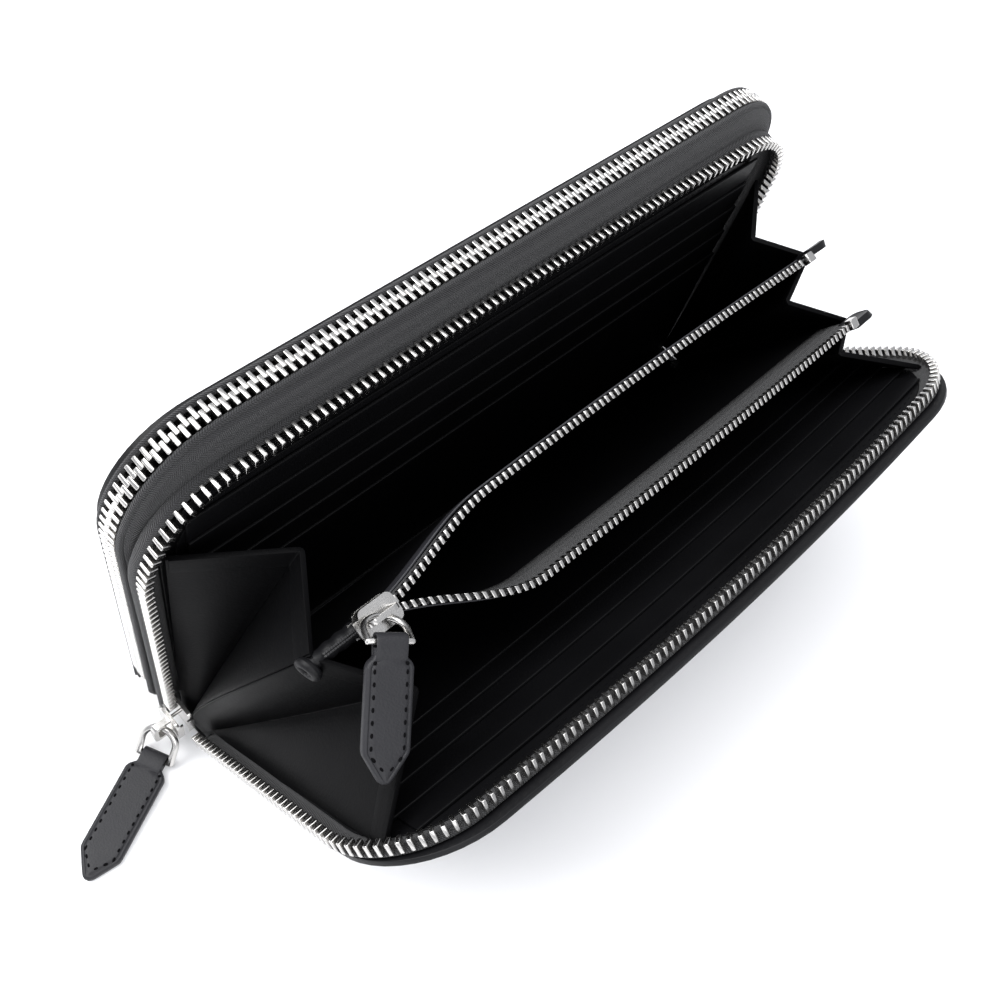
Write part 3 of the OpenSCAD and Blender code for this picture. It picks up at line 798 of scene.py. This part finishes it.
FOOT_L = (-95.6, -8.0, 3.2)
ridge_left = [FOOT_L, (-98, -14, 34), (-98.5, -25, 64), (-83.8, -34.0, 80.5)]
gusset("gusset_left_rear", [
    [(-95.3, -4.0, 3.2), (-94.5, -3.0, 40), (-93.4, -2.4, 83)],
    [FOOT_L, (-90, -12, 38), (-71.6, -15.8, 81.5)],
    ridge_left], "gusset_rear_left", (-94, -3, 77), (-84, -34.0, 77),
    [(-0.5, -0.3, 0.2), (-0.6, 0.5, 0.2)])
gusset("gusset_left_front", [
    ridge_left,
    [(-95.4, -12, 4), (-90, -28, 38), (-71.8, -51.0, 78)],
    [(-95.4, -15.8, 5.5), leaf(LEAN_COVER, -94.6, 40, -1.8), leaf(LEAN_COVER, -94, 83, -2.2)]],
    "gusset_front_left", (-84, -34.0, 77), (-94, -66, 68),
    [(-0.6, -0.5, 0.2), (-0.5, 0.3, 0.2)])

# How far along the way from body to body the pouch's walls turn, as shares
REAR_SHARE = 0.713
FRONT_SHARE = 0.486
FOOT_R = (95.0, -8.0, 2.8)
tip_back = on_wall(-1, 87, 71, 1.0)
tip_front = on_wall(1, 86, 71, 1.0)
low_back = (93.0, -11.2, 2.8)
low_front = (93.0, -11.8, 2.8)
mid_back = on_wall(-1, 90, 40, 1.0)
mid_front = on_wall(1, 90, 40, 1.0)
gusset("gusset_right_rear", [
    [(95.3, -0.5, 2.8), (94.9, -2.2, 40), (93.6, -2.4, 80)],
    [FOOT_R, (90, -9, 40), (77.5, -15, 78.5)],
    [low_back, mid_back, tip_back]], "gusset_rear_right",
    (94, -3, 77), (94, -3 - (abs(tip_back[1]) - 3) / REAR_SHARE, 77), [(0.5, -0.3, 0.2), (0.6, 0.5, 0.2)])
span = (68.0 - abs(tip_front[1])) / (1 - FRONT_SHARE)
gusset("gusset_right_front", [
    [low_front, mid_front, tip_front],
    [(94.5, -14, 3.5), (86, -36, 44), (74.0, -52, 72)],
    [(95.4, -15.8, 5.5), leaf(LEAN_COVER, 94.6, 40, -1.8), leaf(LEAN_COVER, 93, 82, -2.2)]],
    "gusset_front_right", (90, -68 + span, 72), (90, -68, 72),
    [(0.6, -0.5, 0.2), (0.5, 0.3, 0.2)])
fold_mid = [mid(86, 6, 0), mid(84, 34, 0), mid(70, 72, 0)]
gusset("pouch_end_rear", [[low_back, mid_back, tip_back], fold_mid], "pouch_end_gusset",
       mid(80, 70, 0), on_wall(-1, 80, 70, 0), [(0.6, -0.5, 0.2)])
gusset("pouch_end_front", [fold_mid, [low_front, mid_front, tip_front]], None,
       mid(80, 70, 0), on_wall(1, 80, 70, 0), [(0.6, 0.5, 0.2)])

# ---------------------------------------------------------------- sliders, rings and pulls

for name in ("main_slider", "back_slider", "coin_slider", "main_ring", "back_ring"):
    obj = frame["nodes"][name]
    obj.data.materials.clear()
    obj.data.materials.append(METAL)
    weld = obj.modifiers.new("weld", "WELD")
    weld.merge_threshold = 0.00001
    if name.endswith("slider"):
        mod = obj.modifiers.new("edge", "BEVEL")
        mod.width = 0.22 * MM
        mod.segments = 3
        mod.limit_method = "ANGLE"
        mod.angle_limit = math.radians(40)


# Sizes of every pull: half width and top of its neck in mm, the length of its point as a share of its width,
# and how far in mm the stitches lie in from its edge
NECK_HALF = 3.1
NECK_TOP = -1.2
POINT_SHARE = 0.6
STITCH_INSET = 1.55


def pull_outline(width, length):
    """Corners of a pull's outline, counter-clockwise from its left shoulder, with its tip towards -y."""
    half, neck = width / 2, NECK_HALF
    tip = length - POINT_SHARE * width
    right = [(0.5, -length), (1.3, -length + 0.5), (half - 0.5, -tip - 0.7), (half - 0.1, -tip),
             (half, -tip + 0.9),
             (half, -4.6), (half - 0.4, -3.7), (half - 1.2, -3.0), (neck, -2.3), (neck, NECK_TOP)]
    return [(-x, y) for x, y in reversed(right)] + right


def edge_distance(p, outline):
    """Distance in mm from a point to the outline, leaving out the line across the top of the neck."""
    best = 1e9
    for a, b in zip(outline, outline[1:]):
        if a[1] == NECK_TOP and b[1] == NECK_TOP:
            continue
        ax, ay, bx, by = a[0], a[1], b[0], b[1]
        dx, dy = bx - ax, by - ay
        t = max(0.0, min(1.0, ((p[0] - ax) * dx + (p[1] - ay) * dy) / max(1e-9, dx * dx + dy * dy)))
        best = min(best, math.hypot(p[0] - ax - t * dx, p[1] - ay - t * dy))
    return best


def half_width(outline, y):
    """Half width of the outline at one distance along the pull."""
    side = [p for p in outline if p[0] > 0]
    side.sort(key=lambda p: p[1])
    if y <= side[0][1]:
        return side[0][0]
    for (x0, y0), (x1, y1) in zip(side, side[1:]):
        if y <= y1:
            return x0 + (x1 - x0) * (y - y0) / max(1e-9, y1 - y0)
    return side[-1][0]


def pull_height(d):
    """The face of a pull at a distance from its edge: rounded rim, crease line, raised middle."""
    rim = 0.45 + 0.72 * math.sqrt(max(0.0, 1 - (1 - min(1.0, d / 0.7)) ** 2))
    crease = -0.16 * math.exp(-((d - 1.0) / 0.13) ** 2)
    return rim + crease + 0.13 * smooth((d - 1.0) / 0.6)


def pull_parts(name, pin, rot, body, cad, width, length):
    """A two-layer stitched pull hung on its ring's pin."""
    outline = pull_outline(width, length)
    steps = [0.0, 0.12, 0.3, 0.5, 0.7, 0.85, 0.93, 1.0, 1.07, 1.15, 1.35, 1.6, 2.1]
    near_tip = {-length + d for d in (0.0, 0.15, 0.4, 0.8, 1.2, 1.6)}
    ys = sorted(near_tip | set(spread(-length + 2.0, NECK_TOP, 60)))
    verts, faces = [], []
    for sign in (1, -1):
        for y in ys:
            h = half_width(outline, y)
            xs = [-h + min(d, h) for d in steps] + [0.0] + [h - min(d, h) for d in reversed(steps)]
            for x in xs:
                verts.append((x, y, sign * pull_height(edge_distance((x, y), outline))))
    cols, rows = 2 * len(steps) + 1, len(ys)
    for s in (0, 1):
        base = s * rows * cols
        for i in range(rows - 1):
            for k in range(cols - 1):
                a = base + i * cols + k
                quad = (a, a + 1, a + cols + 1, a + cols)
                faces.append(quad if s == 0 else quad[::-1])
    rim = [i * cols for i in range(rows - 1, -1, -1)] + list(range(1,
            cols)) + [i * cols + cols - 1 for i in range(1, rows)]
    rim += [(rows - 1) * cols + k for k in range(cols - 2, 0, -1)]
    for i, a in enumerate(rim):
        b = rim[(i + 1) % len(rim)]
        faces.append((b, a, a + rows * cols, b + rows * cols))
    lift = Matrix.Translation(Vector(pin)) @ rot

    def world(p):
        return tuple(lift @ Vector(p))

    obj = mesh_object(f"{name}_leather", [world(v) for v in verts], faces, PULL)
    mod = obj.modifiers.new("weld", "WELD")
    mod.merge_threshold = 0.00001
    put(obj, body, cad)
    loop = [(-3.6, 0.95), (-2.6, 1.3), (-1.6, 1.42), (-0.8, 1.44)]
    for k in range(1, 10):
        a = math.pi / 2 - math.pi * k / 10
        loop.append((1.42 * math.cos(a), 1.42 * math.sin(a)))
    loop += [(-0.8, -1.44), (-1.6, -1.42), (-2.6, -1.3), (-3.6, -0.95)]
    strap = grid(f"{name}_loop", lambda x, k: world((x, loop[k][0], loop[k][1])), spread(-3.05, 3.05, 8),
                 range(len(loop)), PULL, 0.5, 0, 0.15)
    put(strap, body)
    edge = width / 2 - STITCH_INSET
    for sign, side in ((1, "face"), (-1, "under")):
        normal = rot.to_3x3() @ Vector((0, 0, sign))
        run = [(edge, -4.3), (edge, -length + POINT_SHARE * width - 0.3), (0.2, -length + 2.1)]
        for m, tag in ((1, "a"), (-1, "b")):
            line = [world((x * m, y, sign * 1.3)) for x, y in run]
            put(stitch_run(f"{name}_stitch_{side}_{tag}", line, normal, THREAD, 2.1, 1.35, 0.34, 0.14), body)
            ends = [world((m * edge - 0.2, -3.9, sign * 1.3)), world((m * edge + 0.2, -3.9, sign * 1.3))]
            put(stitch_run(f"{name}_knot_{side}_{tag}", ends, normal, THREAD, 0.3, 0.75, 0.38, 0.06), body)


def pin_axes(pull_node):
    """Pin centre in mm and the pull's own directions, from the joint and the CAD pull."""
    joint = next(j for j in frame["joints"] if j["name"] == pull_node + "_hinge")
    pin = Vector(joint["pos_m"]) / MM
    axis = Vector(joint["axis"]).normalized()
    data = frame["nodes"][pull_node]
    pts = np.array([tuple(data.matrix_world @ v.co) for v in data.data.vertices]) / MM
    far = Vector(pts[np.argmax(np.linalg.norm(pts - np.array(pin), axis=1))])
    down = far - pin
    down -= axis * down.dot(axis)
    down.normalize()
    return pin, axis, down


def pull_frame(axis, down):
    """Rotation whose y runs back along the pull and whose z faces up."""
    y = -down
    z = axis.cross(y)
    if z.z < 0:
        axis, z = -axis, -z
    return Matrix((axis, y, z)).transposed().to_4x4()


PULL_SIZES = {"main": (10.2, 31.0), "back": (10.2, 31.0), "coin": (9.4, 26.0)}
for tag in ("main", "back"):
    pin, axis, down = pin_axes(tag + "_pull")
    pull_parts(tag + "_pull", pin, pull_frame(axis, down), tag + "_pull", tag + "_pull", *PULL_SIZES[tag])

# The coin ring hangs a little further round than its CAD solid can, with its pull
hang = Vector(next(j for j in frame["joints"] if j["name"] == "coin_ring_hinge")["pos_m"]) / MM
up = (Vector(leaf(LEAN_POUCH, 0, 1, 0)) - Vector(leaf(LEAN_POUCH, 0, 0, 0))).normalized()
turn = Matrix.Translation(hang) @ Matrix.Rotation(math.radians(COIN_TURN), 4, up) @ Matrix.Translation(-hang)
pin, axis, down = pin_axes("coin_pull")
pull_parts("coin_pull", turn @ pin, pull_frame(turn.to_3x3() @ axis, turn.to_3x3() @ down), "coin_pull",
           "coin_pull",
           *PULL_SIZES["coin"])
wire = frame["nodes"]["coin_ring"].data
wire_points = [turn @ (v.co / MM) for v in wire.vertices]
coin_wire = mesh_object("coin_ring_wire", wire_points, [tuple(f.vertices) for f in wire.polygons], METAL)
weld = coin_wire.modifiers.new("weld", "WELD")
weld.merge_threshold = 0.00001
put(coin_wire, "coin_ring", "coin_ring", slot="silver_metal")

# ---------------------------------------------------------------- floor, light and camera


# The floor's half side in m, the sky's strength, and each lamp's place in m, size in m and power in W
FLOOR_HALF = 3.0
SKY_STRENGTH = 0.7
LAMPS = (("key", (-0.55, 0.55, 0.95), 0.7, 14.0),
         ("top", (0.1, 0.1, 1.3), 1.0, 10.0),
         ("fill", (-0.5, -0.9, 0.7), 0.9, 6.0))


def stage():
    """Pale floor, sky and three soft lamps."""
    mesh = bpy.data.meshes.new("floor")
    s = FLOOR_HALF
    mesh.from_pydata([(-s, -s, 0), (s, -s, 0), (s, s, 0), (-s, s, 0)], [], [(0, 1, 2, 3)])
    mat, _, bsdf = material("floor_white", (0.92, 0.92, 0.93), 0.65)
    bsdf.inputs["Specular IOR Level"].default_value = 0.2
    obj = link(bpy.data.objects.new("floor", mesh), mat)
    world = bpy.data.worlds.new("world")
    bpy.context.scene.world = world
    world.use_nodes = True
    world.node_tree.nodes["Background"].inputs[0].default_value = (0.93, 0.95, 1.0, 1)
    world.node_tree.nodes["Background"].inputs[1].default_value = SKY_STRENGTH
    aim = Vector((0, -0.02, 0.05))
    for name, at, size, power in LAMPS:
        light = bpy.data.lights.new(name, "AREA")
        light.shape = "SQUARE"
        light.size = size
        light.energy = power
        lamp = bpy.data.objects.new(name, light)
        bpy.context.scene.collection.objects.link(lamp)
        lamp.location = at
        lamp.rotation_euler = (aim - Vector(at)).to_track_quat("-Z", "Y").to_euler()
    bpy.context.scene.view_settings.view_transform = "Standard"


def camera():
    """The view from above and to the left of the opened cover, rolled as the photographer held it."""
    forward = Vector((0.464, 0.239, -0.853)).normalized()
    right = forward.cross(Vector((0, 0, 1))).normalized()
    up = right.cross(forward)
    roll = math.radians(22.2)
    right2 = right * math.cos(roll) + up * math.sin(roll)
    up2 = right2.cross(forward)
    cam = bpy.data.cameras.new("camera")
    cam.sensor_width = 36
    cam.lens = 39.0
    cam.clip_start = 0.01
    obj = bpy.data.objects.new("camera", cam)
    bpy.context.scene.collection.objects.link(obj)
    m = Matrix((right2, up2, -forward)).transposed().to_4x4()
    m.translation = Vector((-0.1372, -0.0857, 0.2740))
    obj.matrix_world = m
    bpy.context.scene.camera = obj


stage()
camera()
